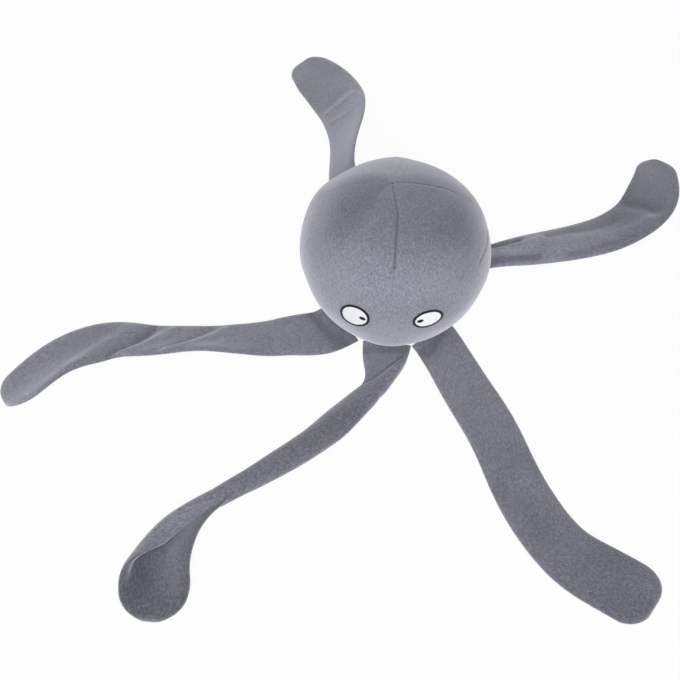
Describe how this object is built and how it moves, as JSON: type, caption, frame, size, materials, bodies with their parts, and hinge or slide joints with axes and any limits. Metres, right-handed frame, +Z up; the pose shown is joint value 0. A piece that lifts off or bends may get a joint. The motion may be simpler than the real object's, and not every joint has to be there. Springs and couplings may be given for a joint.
{
  "type": "plush octopus toy",
  "caption": "Soft fleece octopus with a stuffed ball head, embroidered eyes and long flat limp arms that hang from its base seam.",
  "frame": {"origin": "on the floor, under the middle of the base panel", "axes": "+Z up, the face looks towards -Y, +X to the right of someone who faces the toy"},
  "size_m": [0.541, 0.5612, 0.1189],
  "materials": {
    "fleece": "short brushed pile",
    "fibre_fill": "loose fibre",
    "white_thread": "filling stitch",
    "black_thread": "satin stitch"
  },
  "bodies": {
    "head": {"base_panel": "fleece", "head_back_panel": "fleece", "head_front_panel": "fleece", "left_eye_pupil": "black_thread", "left_eye_rim": "black_thread", "left_eye_white": "white_thread", "right_eye_pupil": "black_thread", "right_eye_rim": "black_thread", "right_eye_white": "white_thread", "stuffing": "fibre_fill"},
    "front_right_arm_root": {"front_right_arm_root_bottom": "fleece", "front_right_arm_root_top": "fleece"},
    "front_right_arm_end": {"front_right_arm_end_bottom": "fleece", "front_right_arm_end_top": "fleece"},
    "right_arm_root": {"right_arm_root_bottom": "fleece", "right_arm_root_top": "fleece"},
    "right_arm_end": {"right_arm_end_bottom": "fleece", "right_arm_end_top": "fleece"},
    "back_arm_root": {"back_arm_root_bottom": "fleece", "back_arm_root_top": "fleece"},
    "back_arm_end": {"back_arm_end_bottom": "fleece", "back_arm_end_top": "fleece"},
    "left_arm_root": {"left_arm_root_bottom": "fleece", "left_arm_root_top": "fleece"},
    "left_arm_end": {"left_arm_end_bottom": "fleece", "left_arm_end_top": "fleece"},
    "front_left_arm_root": {"front_left_arm_root_bottom": "fleece", "front_left_arm_root_top": "fleece"},
    "front_left_arm_end": {"front_left_arm_end_bottom": "fleece", "front_left_arm_end_top": "fleece"}
  },
  "joints": [
    {"name": "front_right_arm_lift", "type": "hinge", "parent": "head", "child": "front_right_arm_root", "pos_m": [0.02859, -0.03794, 0.0053], "axis": [-0.7986, -0.6018, 0], "range_deg": [-60, 25]},
    {"name": "front_right_arm_bend", "type": "hinge", "parent": "front_right_arm_root", "child": "front_right_arm_end", "pos_m": [0.07287, -0.14645, 0.00275], "axis": [-0.9564, -0.2922, 0], "range_deg": [-45, 60]},
    {"name": "right_arm_lift", "type": "hinge", "parent": "head", "child": "right_arm_root", "pos_m": [0.04073, 0.02447, 0.0053], "axis": [0.515, -0.8572, 0], "range_deg": [-60, 20]},
    {"name": "right_arm_bend", "type": "hinge", "parent": "right_arm_root", "child": "right_arm_end", "pos_m": [0.15816, 0.06159, 0.00275], "axis": [0.2756, -0.9613, 0], "range_deg": [-45, 60]},
    {"name": "back_arm_lift", "type": "hinge", "parent": "head", "child": "back_arm_root", "pos_m": [-0.0131, 0.04567, 0.0053], "axis": [0.9613, 0.2756, 0], "range_deg": [-60, 25]},
    {"name": "back_arm_bend", "type": "hinge", "parent": "back_arm_root", "child": "back_arm_end", "pos_m": [-0.03815, 0.17068, 0.01395], "axis": [0.6811, -0.0357, 0.7314], "range_deg": [-45, 60]},
    {"name": "left_arm_lift", "type": "hinge", "parent": "head", "child": "left_arm_root", "pos_m": [-0.03892, -0.02725, 0.0053], "axis": [-0.5736, 0.8192, 0], "range_deg": [-60, 25]},
    {"name": "left_arm_bend", "type": "hinge", "parent": "left_arm_root", "child": "left_arm_end", "pos_m": [-0.08954, -0.04025, 0.00275], "axis": [-0.1908, 0.9816, 0], "range_deg": [-45, 60]},
    {"name": "front_left_arm_lift", "type": "hinge", "parent": "head", "child": "front_left_arm_root", "pos_m": [-0.00579, -0.04716, 0.0053], "axis": [-0.9925, 0.1219, 0], "range_deg": [-60, 25]},
    {"name": "front_left_arm_bend", "type": "hinge", "parent": "front_left_arm_root", "child": "front_left_arm_end", "pos_m": [-0.01053, -0.07386, 0.00275], "axis": [-0.9744, 0.225, 0], "range_deg": [-45, 20]}
  ]
}
